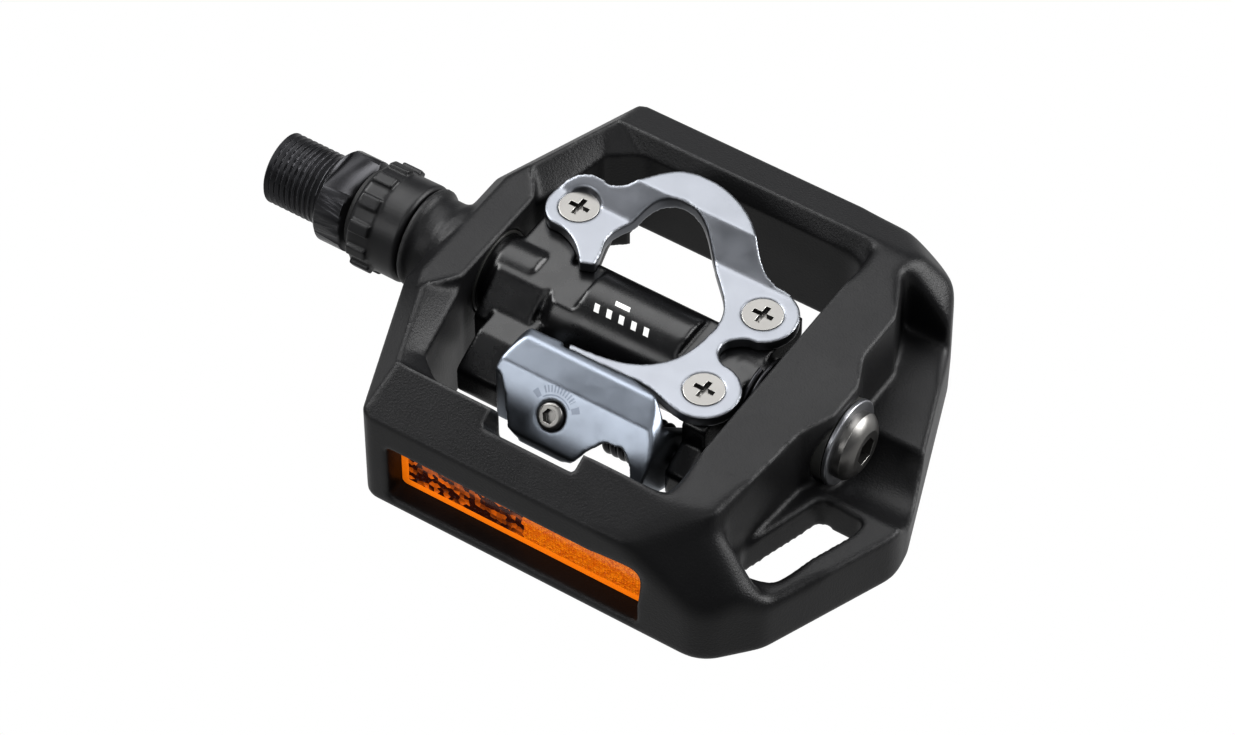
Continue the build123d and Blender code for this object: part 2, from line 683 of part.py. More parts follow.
# ---------------------------------------------------------------- rear claw and its spring gear
HOOD_OUTER = (CLAW_LIP, (-18.4, 11.0), CLAW_RIDGE, CLAW_TAIL, (-31.0, -3.4))
HOOD_INNER = ((-28.4, -3.4), (-28.6, -0.2), (-22.3, 6.4), (-18.6, 8.0), (CLAW_LIP[0], 7.9))
CLAW_ARM = (
    (-20.0, 6.4), (-24.0, 7.6), CLAW_TAIL, (-31.0, -3.4), (-20.0, -8.6), (-13.0, -8.0), (-12.6, -1.0)
)
slope_run = (CLAW_TAIL[0] - CLAW_RIDGE[0], CLAW_TAIL[1] - CLAW_RIDGE[1])
slope_length = hypot(*slope_run)
screw_seat = Plane(
    origin=(TENSION_X, -27.6, 4.65),
    x_dir=(1, 0, 0),
    z_dir=(0, slope_run[1] / slope_length, -slope_run[0] / slope_length),
)
with BuildPart() as rear_claw:
    with BuildSketch(Plane.YZ.offset(CLAW_X[0])):
        with BuildLine():
            Polyline(*HOOD_OUTER, *HOOD_INNER, close=True)
        make_face()
    extrude(amount=CLAW_X[1] - CLAW_X[0])
    # plan view of the lip: stepped back behind the plate's tongue, right corner rounded off
    with BuildSketch(Plane.XY.offset(2.0)):
        with BuildLine():
            Polyline(
                (50.0, -17.4),
                (CLAW_X[0], -17.4),
                (54.8, -15.7),
                (61.9, -15.4),
                (62.2, -16.4),
                (71.0, -16.4),
                (77.6, -16.1),
                (83.0, -17.4),
                (86.6, -20.2),
                (CLAW_X[1], -24.0),
                (90.0, -24.0),
                (90.0, -10.0),
                (50.0, -10.0),
                close=True,
            )
        make_face()
    extrude(amount=12, mode=Mode.SUBTRACT)
    # side arms down to the pivot pin
    for arm_x in (CLAW_X[0], CLAW_X[1] - CLAW_T):
        with BuildSketch(Plane.YZ.offset(arm_x)):
            with BuildLine():
                Polyline(*CLAW_ARM, close=True)
            make_face()
        extrude(amount=CLAW_T)
    # the hood's ends roll over in the rear view
    with BuildSketch(Plane.XZ.offset(14.0)):
        with BuildLine():
            ThreePointArc((79.6, 11.3), (85.9, 9.2), (CLAW_X[1] + 0.1, 3.6))
            Polyline((CLAW_X[1] + 0.1, 3.6), (90.0, 3.6), (90.0, 12.0), (79.6, 12.0), (79.6, 11.3))
        make_face()
        with BuildLine():
            ThreePointArc((57.6, 11.3), (54.5, 10.2), (CLAW_X[0] - 0.1, 6.8))
            Polyline((CLAW_X[0] - 0.1, 6.8), (52.0, 6.8), (52.0, 12.0), (57.6, 12.0), (57.6, 11.3))
        make_face()
    extrude(amount=22, mode=Mode.SUBTRACT)
    # boss inside for the tension screw
    with BuildSketch(screw_seat):
        Circle(4.2)
    extrude(amount=-3.4)
    # rear view: the left edge leans in, and an arch clears the spring
    with BuildSketch(Plane.XZ.offset(25.4)):
        with BuildLine():
            Polyline(
                (50, 9.0), (53.0, 8.0), (56.4, 4.7), (59.6, 0.6), (61.8, -1.2), (62.6, -14), (50, -14),
                close=True,
            )
        make_face()
        with BuildLine():
            Polyline((61.0, -2.2), (71.4, -2.2), (71.4, -14), (61.0, -14), close=True)
        make_face()
        with BuildLine():
            Polyline(
                (71.2, -2.3),
                (73.6, -1.0),
                (76.2, 2.4),
                (79.0, 4.6),
                (82.2, 4.8),
                (84.8, 3.0),
                (86.4, 0.0),
                (87.4, -4.0),
                (88.0, -14.0),
                (71.2, -14.0),
                close=True,
            )
        make_face()
    extrude(amount=12, mode=Mode.SUBTRACT)
    # counterbore and hole for the tension screw, hole for the pivot pin
    with BuildSketch(screw_seat):
        Circle(2.75)
    extrude(amount=-1.2, mode=Mode.SUBTRACT)
    with BuildSketch(screw_seat):
        Circle(TENSION_R + RUNNING_GAP)
    extrude(amount=-12, mode=Mode.SUBTRACT)
    with BuildSketch(Plane.YZ.offset(40)):
        with Locations((PIVOT_Y, PIVOT_Z)):
            Circle(PIN_R + RUNNING_GAP)
    extrude(amount=60, mode=Mode.SUBTRACT)
rear_claw.part.label = "rear_claw"
export_step(rear_claw.part, "parts/rear_claw.step")

with BuildPart() as claw_pivot_pin:
    with BuildSketch(Plane.YZ.offset(43.4)):
        with Locations((PIVOT_Y, PIVOT_Z)):
            Circle(PIN_R)
    extrude(amount=BODY_END_X - 43.6)
claw_pivot_pin.part.label = "claw_pivot_pin"
export_step(claw_pivot_pin.part, "parts/claw_pivot_pin.step")

with BuildPart() as tension_screw:
    with BuildSketch(screw_seat.offset(-9.6)):
        Circle(TENSION_R)
    extrude(amount=8.5)
    with BuildSketch(screw_seat.offset(-1.15)):
        Circle(2.6)
    extrude(amount=2.0)
    screw_rims = tension_screw.edges().filter_by(GeomType.CIRCLE)
    fillet(screw_rims.sort_by(Axis((0, 0, 0), screw_seat.z_dir))[-1], 0.7)
    with BuildSketch(screw_seat.offset(0.85)):
        RegularPolygon(radius=1.25, side_count=6, major_radius=False)
    extrude(amount=-1.4, mode=Mode.SUBTRACT)
tension_screw.part.label = "tension_screw"
export_step(tension_screw.part, "parts/tension_screw.step")

with BuildPart() as tension_plate:
    with BuildSketch(screw_seat.offset(-5.4)):
        RectangleRounded(8.0, 6.0, 0.8)
        Circle(TENSION_R + RUNNING_GAP, mode=Mode.SUBTRACT)
    extrude(amount=-2.2)
tension_plate.part.label = "tension_plate"
export_step(tension_plate.part, "parts/tension_plate.step")

# ---------------------------------------------------------------- springs
with BuildPart() as claw_springs:
    for coil_x in (SPRING_X, SPRING_X_LEFT):
        with BuildLine() as coil_path:
            Helix(
                pitch=2.02 * WIRE_R,
                height=coil_x[1] - coil_x[0],
                radius=SPRING_R,
                center=(coil_x[0], PIVOT_Y, PIVOT_Z),
                direction=(1, 0, 0),
            )
        with BuildSketch(Plane(origin=coil_path.line @ 0, z_dir=coil_path.line % 0)):
            Circle(WIRE_R)
        sweep(path=coil_path.line)
claw_springs.part.label = "claw_springs"
export_step(claw_springs.part, "parts/claw_springs.step")

with BuildPart() as popup_spring:
    with BuildLine() as popup_path:
        Helix(pitch=1.2, height=1.7, radius=8.3, center=(94.6, 0, 0), direction=(1, 0, 0))
    with BuildSketch(Plane(origin=popup_path.line @ 0, z_dir=popup_path.line % 0)):
        Circle(0.55)
    sweep(path=popup_path.line)
popup_spring.part.label = "popup_spring"
export_step(popup_spring.part, "parts/popup_spring.step")

# ---------------------------------------------------------------- outboard bolt
with BuildPart() as cage_bolt:
    with BuildSketch(Plane.XZ):
        with BuildLine():
            Polyline(
                (101.0, 0),
                (101.0, CAGE_BOLT_R - 0.6),
                (101.6, CAGE_BOLT_R),
                (WASHER_X[1], CAGE_BOLT_R),
                (WASHER_X[1], CAGE_BOLT_HEAD_R),
                (WASHER_X[1] + 1.6, CAGE_BOLT_HEAD_R),
            )
            ThreePointArc(
                (WASHER_X[1] + 1.6, CAGE_BOLT_HEAD_R),
                (CAGE_BOLT_FACE_X - 0.7, CAGE_BOLT_HEAD_R - 1.1),
                (CAGE_BOLT_FACE_X, CAGE_BOLT_HEAD_R - 2.6),
            )
            Polyline(
                (CAGE_BOLT_FACE_X, CAGE_BOLT_HEAD_R - 2.6),
                (CAGE_BOLT_FACE_X, 0),
                (101.0, 0),
            )
        make_face()
    revolve(axis=Axis.X)
    with BuildSketch(Plane.YZ.offset(CAGE_BOLT_FACE_X)):
        RegularPolygon(radius=2.5, side_count=6, major_radius=False)
    extrude(amount=-3.4, mode=Mode.SUBTRACT)
cage_bolt.part.label = "cage_bolt"
export_step(cage_bolt.part, "parts/cage_bolt.step")

with BuildPart() as bolt_washer:
    with BuildSketch(Plane.YZ.offset(WASHER_X[0])):
        Circle(8.6)
        Circle(CAGE_BOLT_R + 0.1, mode=Mode.SUBTRACT)
    extrude(amount=WASHER_X[1] - WASHER_X[0])
    fillet(bolt_washer.edges().group_by(Axis.X)[-1].sort_by(SortBy.RADIUS)[-1], 0.3)
bolt_washer.part.label = "bolt_washer"
export_step(bolt_washer.part, "parts/bolt_washer.step")
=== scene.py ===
import json
import math

import bpy
from mathutils import Matrix, Vector


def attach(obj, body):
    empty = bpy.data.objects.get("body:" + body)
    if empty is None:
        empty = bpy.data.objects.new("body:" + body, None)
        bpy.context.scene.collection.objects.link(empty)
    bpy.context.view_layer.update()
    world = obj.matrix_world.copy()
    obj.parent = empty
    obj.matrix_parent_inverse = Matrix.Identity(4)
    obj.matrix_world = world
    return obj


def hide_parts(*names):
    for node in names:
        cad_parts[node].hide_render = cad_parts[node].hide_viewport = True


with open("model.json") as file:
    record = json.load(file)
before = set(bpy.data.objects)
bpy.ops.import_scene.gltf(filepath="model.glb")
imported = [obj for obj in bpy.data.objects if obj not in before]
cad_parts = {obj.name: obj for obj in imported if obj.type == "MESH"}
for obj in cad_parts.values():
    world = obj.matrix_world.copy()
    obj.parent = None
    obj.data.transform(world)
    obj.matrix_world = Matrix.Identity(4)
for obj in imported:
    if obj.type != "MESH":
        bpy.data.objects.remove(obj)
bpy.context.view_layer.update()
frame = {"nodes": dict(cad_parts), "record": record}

# %% [markdown]
# A clipless pedal is a small machine. The moulded cage around it is a shoe rest, the steel hook and
# claw in the middle hold the cleat, and the spindle joins everything to the crank arm. This file
# dresses the exact solids with finishes and rounds the edges that moulding, pressing and plating
# leave round on the real thing. Lengths are metres, +X is outboard, +Y forward, +Z up.

# %% Small helpers
MM = 0.001


def linear(hex_colour):
    """An sRGB hex colour as linear RGBA, which is what shader sockets take."""
    out = []
    for i in (1, 3, 5):
        c = int(hex_colour[i:i + 2], 16) / 255
        out.append(c / 12.92 if c <= 0.04045 else ((c + 0.055) / 1.055) ** 2.4)
    return (*out, 1.0)


def add(tree, kind, settings=None, **links):
    """A node of a shader tree. Settings are its properties and links its inputs, by name or as i0, i1."""
    made = tree.nodes.new("ShaderNode" + kind)
    for key, value in (settings or {}).items():
        setattr(made, key, value)
    for key, value in links.items():
        by_number = key[0] == "i" and key[1:].isdigit()
        socket = made.inputs[int(key[1:]) if by_number else key.replace("_", " ")]
        if isinstance(value, bpy.types.NodeSocket):
            tree.links.new(value, socket)
        else:
            socket.default_value = value
    return made


def maths(tree, operation, a, b=0.0, c=0.0):
    """One arithmetic node, by its operation's name."""
    return add(tree, "Math", {"operation": operation}, i0=a, i1=b, i2=c).outputs[0]


def blank(name):
    """A new node material and its empty tree."""
    made = bpy.data.materials.new(name)
    made.use_nodes = True
    made.node_tree.nodes.clear()
    return made, made.node_tree


def noise(tree, where, size, detail=3.0, rough=0.55):
    """Noise whose features are about `size` metres across."""
    made = add(tree, "TexNoise", None, Vector=where, Scale=1.0 / size, Detail=detail, Roughness=rough)
    return made.outputs[0]


def ramp(tree, value, low, high, to_low=0.0, to_high=1.0):
    """The value, from low..high to to_low..to_high, clamped."""
    made = add(tree, "MapRange", {"clamp": True}, Value=value, From_Min=low, From_Max=high,
               To_Min=to_low, To_Max=to_high)
    return made.outputs[0]


def mix(tree, amount, first, second):
    """Two colours mixed."""
    made = add(tree, "Mix", {"data_type": "RGBA"}, i0=amount)
    for socket, value in ((made.inputs[6], first), (made.inputs[7], second)):
        if isinstance(value, bpy.types.NodeSocket):
            tree.links.new(value, socket)
        else:
            socket.default_value = value
    return made.outputs[2]


def bump(tree, height, distance, strength=1.0, normal=None):
    """Relief of `distance` metres where the height goes from 0 to 1."""
    made = add(tree, "Bump", None, Strength=strength, Distance=distance, Height=height)
    if normal is not None:
        tree.links.new(normal, made.inputs["Normal"])
    return made.outputs[0]


def times(tree, first, *others):
    """The product of two or more values."""
    for other in others:
        first = maths(tree, "MULTIPLY", first, other)
    return first


def within(tree, value, low, high):
    """1 where the value lies between low and high, else 0."""
    return times(tree, maths(tree, "GREATER_THAN", value, low), maths(tree, "LESS_THAN", value, high))


def away(tree, value, middle):
    """How far the value is from the middle, either way."""
    return maths(tree, "ABSOLUTE", maths(tree, "SUBTRACT", value, middle))


def span(tree, first, second):
    """The length of a step of `first` one way and `second` at right angles to it."""
    return maths(tree, "SQRT", maths(tree, "ADD", times(tree, first, first), times(tree, second, second)))


print("helpers ready")

# %% [markdown]
# Finishes. Each is a small network: a base colour that drifts a little from place to place, a
# roughness that drifts with handling, a fine relief at the real size of the grain, and a lighter
# edge, partly wear and partly a painted highlight, found with the bevel shader, which compares the
# true normal with one rounded over a radius.


# %% Surface builder
def surface(name, colour, metal=0.0, rough=0.4, grain=0.3, relief=0.01, drift=0.12, edge=None, edge_size=0.5,
            round_off=0.25, spread=6.0, coat=0.0, scuff=0.0, shine=0.5, extra=None):
    """A finish. Sizes are in millimetres: grain across, relief depth, edge_size of the lighter rim
    (partly wear, partly a painted highlight), round_off of the shaded edges, spread of the slow colour
    drift. Shine is how strongly a plastic mirrors, and extra is a function that adds a print or a
    relief of its own."""
    made, tree = blank(name)
    where = add(tree, "TexCoord").outputs["Object"]
    fine = noise(tree, where, grain * MM, 2.0, 0.6)
    slow = noise(tree, where, spread * MM, 4.0, 0.6)
    base = linear(colour)
    dark = tuple(v * (1 - drift) for v in base[:3]) + (1.0,)
    light = tuple(min(1.0, v * (1 + drift)) for v in base[:3]) + (1.0,)
    tone = mix(tree, ramp(tree, slow, 0.3, 0.7), dark, light)
    roughness = ramp(tree, slow, 0.25, 0.75, rough - 0.05, rough + 0.06)
    smooth = add(tree, "Bevel", {"samples": 4}, Radius=round_off * MM).outputs[0]
    # The lighter rim on edges is partly wear and partly a painted highlight for the light that edges catch.
    if edge:
        wide = add(tree, "Bevel", {"samples": 4}, Radius=edge_size * MM).outputs[0]
        plain = add(tree, "NewGeometry").outputs["Normal"]
        turned = add(tree, "VectorMath", {"operation": "DOT_PRODUCT"}, i0=wide, i1=plain).outputs["Value"]
        rim = ramp(tree, turned, 0.985, 0.90)
        broken = ramp(tree, noise(tree, where, 1.4 * MM, 5.0, 0.7), 0.35, 0.62)
        wear_and_edge_highlight = times(tree, rim, ramp(tree, broken, 0, 1, 0.45, 1.0))
        tone = mix(tree, wear_and_edge_highlight, tone, linear(edge))
    if scuff:
        streak = add(tree, "Mapping", {"vector_type": "POINT"}, Vector=where, Scale=(220.0, 1400.0, 900.0),
                     Rotation=(0.1, 0.2, 0.5)).outputs[0]
        lines = add(tree, "TexNoise", None, Vector=streak, Scale=1.0, Detail=2.0, Roughness=0.7).outputs[0]
        marks = ramp(tree, lines, 0.66, 0.74, 0.0, scuff)
        roughness = maths(tree, "ADD", roughness, marks)
    normal = bump(tree, fine, relief * MM, 1.0, smooth)
    shader = add(tree, "BsdfPrincipled", None, Base_Color=tone, Metallic=metal, Roughness=roughness,
                 Normal=normal)
    shader.inputs["Specular IOR Level"].default_value = shine
    if coat:
        shader.inputs["Coat Weight"].default_value = coat
        shader.inputs["Coat Roughness"].default_value = 0.12
    if extra:
        extra(tree, where, shader, tone, normal)
    add(tree, "OutputMaterial", None, Surface=shader.outputs[0])
    return made


# %% [markdown]
# The barrel carries a pad-printed mark. A plain row of slanted white dashes stands in for it. It is
# laid out along the barrel and round its curve, so it bends with the surface like real print.


# %% Printed dashes on the barrel
BARREL_RADIUS = 9.5
DASH_PITCH = 2.7
DASH_SHARE = 0.42       # of the pitch that is inked
DASH_SLANT = 0.35
MARK_X = (58.5, 72.5)
DASH_BAND = (-4.9, -3.3)
BAR_BAND = (-2.1, -1.1)
BAR_MIDDLE = 65.0
BAR_HALF = 1.6


def dashes(tree, where, shader, tone, normal):
    """A row of dashes under a short bar, in ink on the outer skin of the barrel only."""
    axes = add(tree, "SeparateXYZ", None, Vector=where).outputs
    angle = maths(tree, "ARCTAN2", axes[1], axes[2])
    along = times(tree, angle, BARREL_RADIUS * MM)
    slant = maths(tree, "ADD", axes[0], times(tree, along, DASH_SLANT))
    step = maths(tree, "FRACT", maths(tree, "DIVIDE", slant, DASH_PITCH * MM))
    dash = times(tree, within(tree, along, DASH_BAND[0] * MM, DASH_BAND[1] * MM),
                 maths(tree, "LESS_THAN", step, DASH_SHARE))
    bar = times(tree, within(tree, along, BAR_BAND[0] * MM, BAR_BAND[1] * MM),
                maths(tree, "LESS_THAN", away(tree, slant, BAR_MIDDLE * MM), BAR_HALF * MM))
    inside = within(tree, slant, MARK_X[0] * MM, MARK_X[1] * MM)
    upper = maths(tree, "GREATER_THAN", axes[2], 2.0 * MM)
    skin = maths(tree, "GREATER_THAN", span(tree, axes[1], axes[2]), (BARREL_RADIUS - 0.2) * MM)
    ink = times(tree, inside, maths(tree, "MAXIMUM", dash, bar), upper, skin)
    tree.links.new(mix(tree, ink, tone, linear("#b4b4b2")), shader.inputs["Base Color"])


# %% [markdown]
# The claw's slope carries a raised gauge for the spring tension: an arc, a fan of ticks and a wedge
# at each end. It is pressed into the steel, so it is relief in the finish, laid out round the screw.


# %% Tension gauge on the claw
SCREW_PLACE = (67.0, -27.6, 4.65)
UPHILL = (0.6665, 0.7455)       # the slope's own direction, along Y and Z
TICK_STEP = 0.13                # radians


def gauge(tree, where, shader, tone, normal):
    """Arc, ticks and end wedges round the tension screw, raised a tenth of a millimetre."""
    axes = add(tree, "SeparateXYZ", None, Vector=where).outputs
    across, ahead, high = (maths(tree, "SUBTRACT", axes[i], SCREW_PLACE[i] * MM) for i in range(3))
    climb = maths(tree, "ADD", times(tree, ahead, UPHILL[0]), times(tree, high, UPHILL[1]))
    reach = span(tree, across, climb)
    angle = maths(tree, "ARCTAN2", across, climb)
    swing = maths(tree, "ABSOLUTE", angle)
    arc = times(tree, within(tree, reach, 3.75 * MM, 4.0 * MM), maths(tree, "LESS_THAN", swing, 0.85))
    turns = maths(tree, "ADD", maths(tree, "DIVIDE", angle, TICK_STEP), 50.0)
    tick = maths(tree, "LESS_THAN", maths(tree, "FRACT", turns), 0.45)
    fan = times(tree, within(tree, reach, 4.4 * MM, 5.7 * MM), maths(tree, "LESS_THAN", swing, 0.66), tick)
    wedge = times(tree, within(tree, swing, 0.86, 1.08), within(tree, reach, 4.2 * MM, 5.8 * MM))
    raised = maths(tree, "MAXIMUM", arc, maths(tree, "MAXIMUM", fan, wedge))
    tree.links.new(bump(tree, raised, 0.12 * MM, 0.9, normal), shader.inputs["Normal"])
    shaded = mix(tree, times(tree, raised, 0.55), tone, linear("#4c5058"))
    tree.links.new(shaded, shader.inputs["Base Color"])


# %% [markdown]
# A reflector lens is clear amber acrylic with corner-cube prisms moulded behind it. Seen off its
# axis, one field of cubes looks dark and broken, the finer field stays bright, and a plain frame
# runs round both. Cells of two sizes with their own tilt and their own painted light and shade show
# that, and the whole lens carries a faint painted glow.


# %% Prisms of the reflector lenses
LENS_MIDDLE = (70.7, -7.6)      # along X and Z
LENS_HALF = (25.6, 5.3)         # inside its plain frame
FIELD_EDGE_X = 71.2             # the broken field lies inboard of this
COARSE_CELL = 1.15
FINE_CELL = 0.6


def prisms(tree, where, shader, tone, normal):
    """Two fields of small tilted cells in a plain frame, with painted light and shade on the cells and a
    faint painted glow.
    """
    axes = add(tree, "SeparateXYZ", None, Vector=where).outputs
    coarse = add(tree, "TexVoronoi", {"feature": "F1"}, Vector=where, Scale=1 / (COARSE_CELL * MM),
                 Randomness=0.75).outputs
    fine = add(tree, "TexVoronoi", {"feature": "F1"}, Vector=where, Scale=1 / (FINE_CELL * MM),
               Randomness=0.6).outputs
    coarse_pick = add(tree, "SeparateColor", None, Color=coarse["Color"]).outputs[0]
    fine_pick = add(tree, "SeparateColor", None, Color=fine["Color"]).outputs[0]
    patch = noise(tree, where, 5.0 * MM, 2.0)
    # Painted light and shade: cells dark or bright as the prisms would mirror light, on one amber.
    lit = ramp(tree, maths(tree, "ADD", coarse_pick, patch), 0.95, 1.50)
    broken = mix(tree, lit, linear("#3c0f02"), linear("#f07a12"))
    bright = mix(tree, ramp(tree, fine_pick, 0.1, 0.9), linear("#d86a02"), linear("#f58c0c"))
    ragged_x = maths(tree, "ADD", axes[0], times(tree, patch, 1.2 * MM))
    inboard = maths(tree, "LESS_THAN", ragged_x, FIELD_EDGE_X * MM)
    field = mix(tree, inboard, bright, broken)
    side = away(tree, axes[0], LENS_MIDDLE[0] * MM)
    height = away(tree, axes[2], LENS_MIDDLE[1] * MM)
    rim = maths(tree, "MAXIMUM", maths(tree, "GREATER_THAN", side, LENS_HALF[0] * MM),
                maths(tree, "GREATER_THAN", height, LENS_HALF[1] * MM))
    amber = mix(tree, rim, field, linear("#f2850f"))
    tree.links.new(amber, shader.inputs["Base Color"])
    # Painted glow: the lens is no lamp, its amber is also sent out as emission.
    tree.links.new(amber, shader.inputs["Emission Color"])
    shader.inputs["Emission Strength"].default_value = 0.6
    cells = times(tree, mix(tree, inboard, fine["Distance"], coarse["Distance"]), 1.0 / MM)
    tilt = times(tree, maths(tree, "SUBTRACT", 1.0, rim), 0.7)
    tree.links.new(bump(tree, cells, 0.25 * MM, tilt, normal), shader.inputs["Normal"])


# %% [markdown]
# Moulded resin is black with a fine matt grain, the binding body is painted, and the pressed steel
# is satin nickel. Bearing parts are bare steel, and nearly all of them are hidden.


# %% The finishes, by material slot
FINISH = {
    "cage_resin": surface(
        "cage_resin", "#111112", rough=0.4, grain=0.42, relief=0.06, edge="#565656", edge_size=1.0,
        round_off=0.7, spread=14.0, scuff=0.06, shine=0.22,
    ),
    "black_resin": surface(
        "black_resin", "#131314", rough=0.4, grain=0.2, relief=0.01, edge="#2c2c2c", round_off=0.3,
        shine=0.3,
    ),
    "body_black": surface(
        "body_black", "#0b0b0c", rough=0.26, grain=0.5, relief=0.008, edge="#77777a", edge_size=0.22,
        round_off=0.5, shine=0.35, extra=dashes,
    ),
    "satin_nickel": surface(
        "satin_nickel", "#696b6f", metal=1.0, rough=0.34, grain=0.18, relief=0.003, drift=0.04,
        edge="#d5d8dc", edge_size=0.4, round_off=0.5,
    ),
    "claw_nickel": surface(
        "claw_nickel", "#6d7279", metal=1.0, rough=0.34, grain=0.18, relief=0.003, drift=0.04,
        edge="#cdd1d6", edge_size=0.4, round_off=0.5, extra=gauge,
    ),
    "screw_nickel": surface(
        "screw_nickel", "#6c6b69", metal=1.0, rough=0.38, grain=0.3, relief=0.003, drift=0.05,
        edge="#a8a7a4", edge_size=0.2, round_off=0.15,
    ),
    "spindle_steel": surface(
        "spindle_steel", "#2c2c2e", metal=0.75, rough=0.36, grain=0.4, relief=0.01, drift=0.2,
        edge="#5e5e61", edge_size=0.12, round_off=0.08,
    ),
    "hard_steel": surface("hard_steel", "#9b9b9d", metal=1.0, rough=0.25, round_off=0.15),
    "bearing_steel": surface("bearing_steel", "#d5d5d8", metal=1.0, rough=0.08, round_off=0.05),
    "spring_steel": surface("spring_steel", "#2b2b2d", metal=0.9, rough=0.3, grain=0.3, round_off=0.1),
    "washer_steel": surface("washer_steel", "#8c8d90", metal=1.0, rough=0.36, round_off=0.15),
    "seal_rubber": surface("seal_rubber", "#141414", rough=0.7, round_off=0.2),
    "bushing_resin": surface("bushing_resin", "#3a3a38", rough=0.35, round_off=0.2),
    "amber_lens": surface("amber_lens", "#e87a10", rough=0.22, coat=0.6, round_off=0.2, extra=prisms),
}
for part in frame["record"]["subparts"]:
    thing = frame["nodes"][part["node"]]
    thing.data.materials.clear()
    thing.data.materials.append(FINISH[part["material_slot"]])
print(len(FINISH), "finishes on", len(frame["nodes"]), "pieces")

# %% [markdown]
# Moulded, cast and pressed pieces have no knife edges. Each is rebuilt from its exact solid as an
# even skin, relaxed so that every edge and inner corner gets a small radius, then thinned. The CAD
# box still holds it, because relaxing only takes material off outer edges.


# %% Softened copies of the exact solids
def only(thing):
    """Make one object the selected and active one."""
    bpy.ops.object.select_all(action="DESELECT")
    thing.select_set(True)
    bpy.context.view_layer.objects.active = thing


def merged_copy(node, name):
    """A copy of a CAD piece with its split vertices joined up again."""
    made = bpy.data.objects.new(name, frame["nodes"][node].data.copy())
    bpy.context.scene.collection.objects.link(made)
    only(made)
    bpy.ops.object.mode_set(mode="EDIT")
    bpy.ops.mesh.select_all(action="SELECT")
    bpy.ops.mesh.remove_doubles(threshold=2e-6)
    bpy.ops.mesh.normals_make_consistent(inside=False)
    bpy.ops.object.mode_set(mode="OBJECT")
    return made


def modify(thing, kind, **settings):
    """Add one modifier and apply it."""
    only(thing)
    made = thing.modifiers.new(kind, kind)
    for key, value in settings.items():
        setattr(made, key, value)
    bpy.ops.object.modifier_apply(modifier=made.name)


def finish_piece(thing, body, slot_name, *nodes, finish=None):
    """Dress a finished piece, hang it on its body and hide the CAD pieces it stands in for."""
    thing.data.materials.clear()
    thing.data.materials.append(FINISH[finish or slot_name])
    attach(thing, body)
    if nodes:
        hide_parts(*nodes)
    thing.data.calc_loop_triangles()
    print(thing.name, len(thing.data.loop_triangles), "triangles")


def soften(node, body, slot_name, grid, rounds, most=150000, zones=(), finish=None):
    """The node's solid with every edge rounded by about the grid size times root of the rounds.
    Each zone is a rule from place to 0..1 and its own extra rounds."""
    made = merged_copy(node, node + "_skin")
    modify(made, "REMESH", mode="VOXEL", voxel_size=grid * MM, adaptivity=0.0)
    modify(made, "SMOOTH", factor=0.5, iterations=rounds)
    for number, (rule, extra_rounds) in enumerate(zones):
        group = made.vertex_groups.new(name=f"zone{number}")
        for vertex in made.data.vertices:
            weight = rule(vertex.co / MM)
            if weight > 0:
                group.add([vertex.index], min(1.0, weight), "REPLACE")
        modify(made, "SMOOTH", factor=0.5, iterations=extra_rounds, vertex_group=group.name)
    count = len(made.data.polygons) * 2
    if count > most:
        modify(made, "DECIMATE", ratio=most / count)
    only(made)
    bpy.ops.object.shade_smooth()
    finish_piece(made, body, slot_name, node, finish=finish)
    return made


def corner_zone(p):
    """The outboard corners of the cage, where the bars roll over into the low rail."""
    return min((p.x - 88) / 12, (abs(p.y) - 24) / 8, (p.z + 9) / 6)


soften("cage", "platform", "cage_resin", 0.5, 4, 180000, zones=[(corner_zone, 90)])
soften("front_binding_plate", "pedal_body", "satin_nickel", 0.25, 14)
soften("rear_claw", "claw", "satin_nickel", 0.25, 18, finish="claw_nickel")
soften("binding_body", "pedal_body", "body_black", 0.4, 5)
soften("lock_bolt", "pedal_body", "black_resin", 0.25, 3, 120000)

# %% [markdown]
# The crank thread is 9/16 in by 20 turns to the inch. A V profile one pitch long is swept along a
# helix over a core, and the ends are cut square.


# %% Spindle with its real helical thread
PITCH = 1.27 * MM
CREST = 7.12 * MM
ROOT = 6.45 * MM
TURNS = 11
THREAD_ENDS = (-12.85 * MM, -1.1 * MM)
spindle = merged_copy("spindle_axle", "spindle_with_thread")
bpy.ops.object.mode_set(mode="EDIT")
bpy.ops.mesh.select_all(action="DESELECT")
bpy.ops.object.mode_set(mode="OBJECT")
for vertex in spindle.data.vertices:
    vertex.select = vertex.co.x < -0.05 * MM and math.hypot(vertex.co.y, vertex.co.z) > 5.0 * MM
bpy.ops.object.mode_set(mode="EDIT")
bpy.ops.transform.resize(value=(1.0, ROOT / CREST, ROOT / CREST), center_override=(0, 0, 0))
bpy.ops.object.mode_set(mode="OBJECT")

bpy.ops.object.select_all(action="DESELECT")
bpy.ops.mesh.primitive_plane_add(size=PITCH, location=(-13.9 * MM, 0, CREST))
thread = bpy.context.active_object
thread.name = "crank_thread_ridge"
bpy.ops.object.transform_apply(location=True, rotation=True, scale=True)
bpy.ops.object.mode_set(mode="EDIT")
bpy.ops.mesh.select_all(action="SELECT")
bpy.ops.mesh.merge(type="CENTER")
bpy.ops.transform.translate(value=(-PITCH / 2, 0, ROOT - CREST))
for step_x, step_z in ((0.50, 0.67), (0.14, 0.0), (0.50, -0.67), (0.13, 0.0)):
    bpy.ops.mesh.extrude_region_move(TRANSFORM_OT_translate={"value": (step_x * MM, 0, step_z * MM)})
bpy.ops.object.mode_set(mode="OBJECT")
modify(thread, "SCREW", axis="X", angle=math.tau, screw_offset=PITCH, iterations=TURNS,
       steps=72, render_steps=72, use_merge_vertices=True, merge_threshold=1e-6, use_smooth_shade=True)
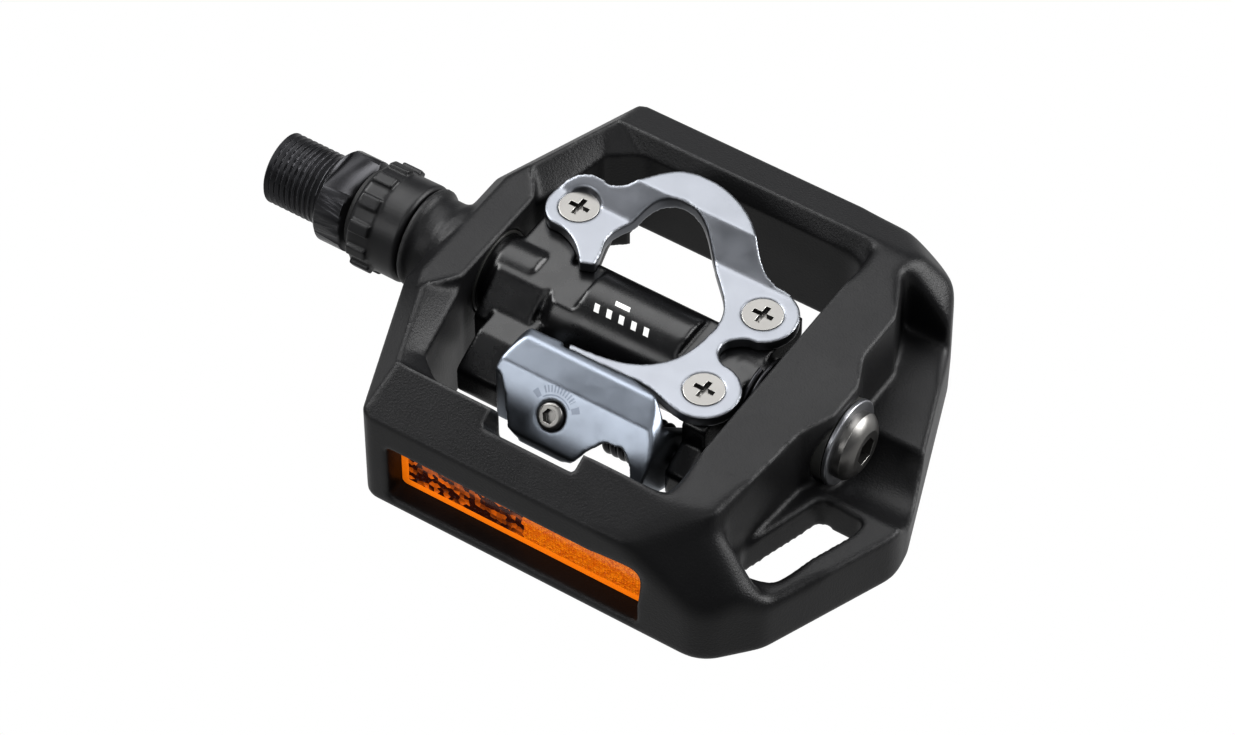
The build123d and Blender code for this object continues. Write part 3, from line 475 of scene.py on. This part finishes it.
for end, outer in zip(THREAD_ENDS, (False, True)):
    only(thread)
    bpy.ops.object.mode_set(mode="EDIT")
    bpy.ops.mesh.select_all(action="SELECT")
    bpy.ops.mesh.bisect(plane_co=(end, 0, 0), plane_no=(1, 0, 0), clear_inner=not outer,
                        clear_outer=outer)
    bpy.ops.object.mode_set(mode="OBJECT")
only(spindle)
thread.select_set(True)
bpy.ops.object.join()
bpy.ops.object.shade_smooth_by_angle(angle=math.radians(30))
finish_piece(spindle, "spindle", "spindle_steel", "spindle_axle")

# %% [markdown]
# The remaining pieces keep their exact meshes; smooth shading stops at their real corners.

# %% Smooth shading on the exact pieces
for thing in frame["nodes"].values():
    only(thing)
    bpy.ops.object.shade_smooth_by_angle(angle=math.radians(32))
print(len(frame["nodes"]), "exact meshes shaded smooth")

# %% [markdown]
# The studio: a plain white sheet that glows, seen from above only, and five soft square lamps. Three
# stand beyond and beside the pedal, because black resin shows its shape by what it mirrors.


# %% Floor
bpy.ops.object.select_all(action="DESELECT")
bpy.ops.mesh.primitive_plane_add(size=6.0, location=(0.06, 0.0, -0.25))
floor = bpy.context.active_object
floor.name = "studio_floor"
paper, tree = blank("studio_paper")
glow = add(tree, "Emission", None, Color=linear("#ffffff"), Strength=1.0).outputs[0]
clear = add(tree, "BsdfTransparent").outputs[0]
under = add(tree, "NewGeometry").outputs["Backfacing"]
sheet = add(tree, "MixShader", None, i0=under, i1=glow, i2=clear).outputs[0]
add(tree, "OutputMaterial", None, Surface=sheet)
floor.data.materials.append(paper)
print("floor at", round(floor.location.z / MM), "mm")

# %% Room light and lamps
world = bpy.data.worlds.new("studio")
bpy.context.scene.world = world
world.use_nodes = True
world.node_tree.nodes["Background"].inputs[0].default_value = linear("#e9ecf2")
world.node_tree.nodes["Background"].inputs[1].default_value = 0.3


def lamp(name, azimuth, elevation, distance, size, power):
    """A soft square lamp aimed at the pedal."""
    aim = Vector((0.06, 0.0, 0.0))
    a, e = math.radians(azimuth), math.radians(elevation)
    back = Vector((math.sin(a) * math.cos(e), -math.cos(a) * math.cos(e), math.sin(e)))
    bpy.ops.object.light_add(type="AREA", location=aim + back * distance)
    made = bpy.context.active_object
    made.name = name
    made.data.size = size
    made.data.energy = power
    made.rotation_euler = (-back).to_track_quat("-Z", "Y").to_euler()
    print(name, power, "W at", distance, "m")


lamp("back_box", 212, 56, 0.9, 0.6, 7.0)
lamp("right_box", 133, 27, 0.9, 0.6, 16.0)
lamp("left_box", 268, 42, 0.9, 0.5, 11.0)
lamp("claw_box", -28, 30, 0.9, 0.36, 3.0)
lamp("front_box", 40, 62, 1.0, 0.8, 4.5)

# %% [markdown]
# The camera looks down on the outboard rear corner through a long lens, so lines that are parallel
# on the pedal stay nearly parallel. Its place is given by two angles and a distance from a target.

# %% Camera
azimuth, elevation, roll = map(math.radians, (33.529, 48.620, -0.302))
level = math.cos(elevation)
back = Vector((math.sin(azimuth) * level, -math.cos(azimuth) * level, math.sin(elevation)))
right = Vector((math.cos(azimuth), math.sin(azimuth), 0.0))
up = back.cross(right)
turned_right = right * math.cos(roll) + up * math.sin(roll)
turned_up = up * math.cos(roll) - right * math.sin(roll)
target = Vector((0.05772, 0.00838, -0.02193))
bpy.ops.object.camera_add(location=target + back * 0.98258)
camera = bpy.context.active_object
camera.rotation_euler = Matrix((turned_right, turned_up, back)).transposed().to_euler()
camera.data.sensor_width = 36.0
camera.data.lens = 150.85
camera.data.clip_start = 0.05
camera.data.clip_end = 20.0
bpy.context.scene.camera = camera
bpy.context.scene.view_settings.view_transform = "Standard"
bpy.context.scene.view_settings.gamma = 0.8
print("camera", round((camera.location - target).length, 3), "m from its target, lens",
      round(camera.data.lens, 1), "mm")
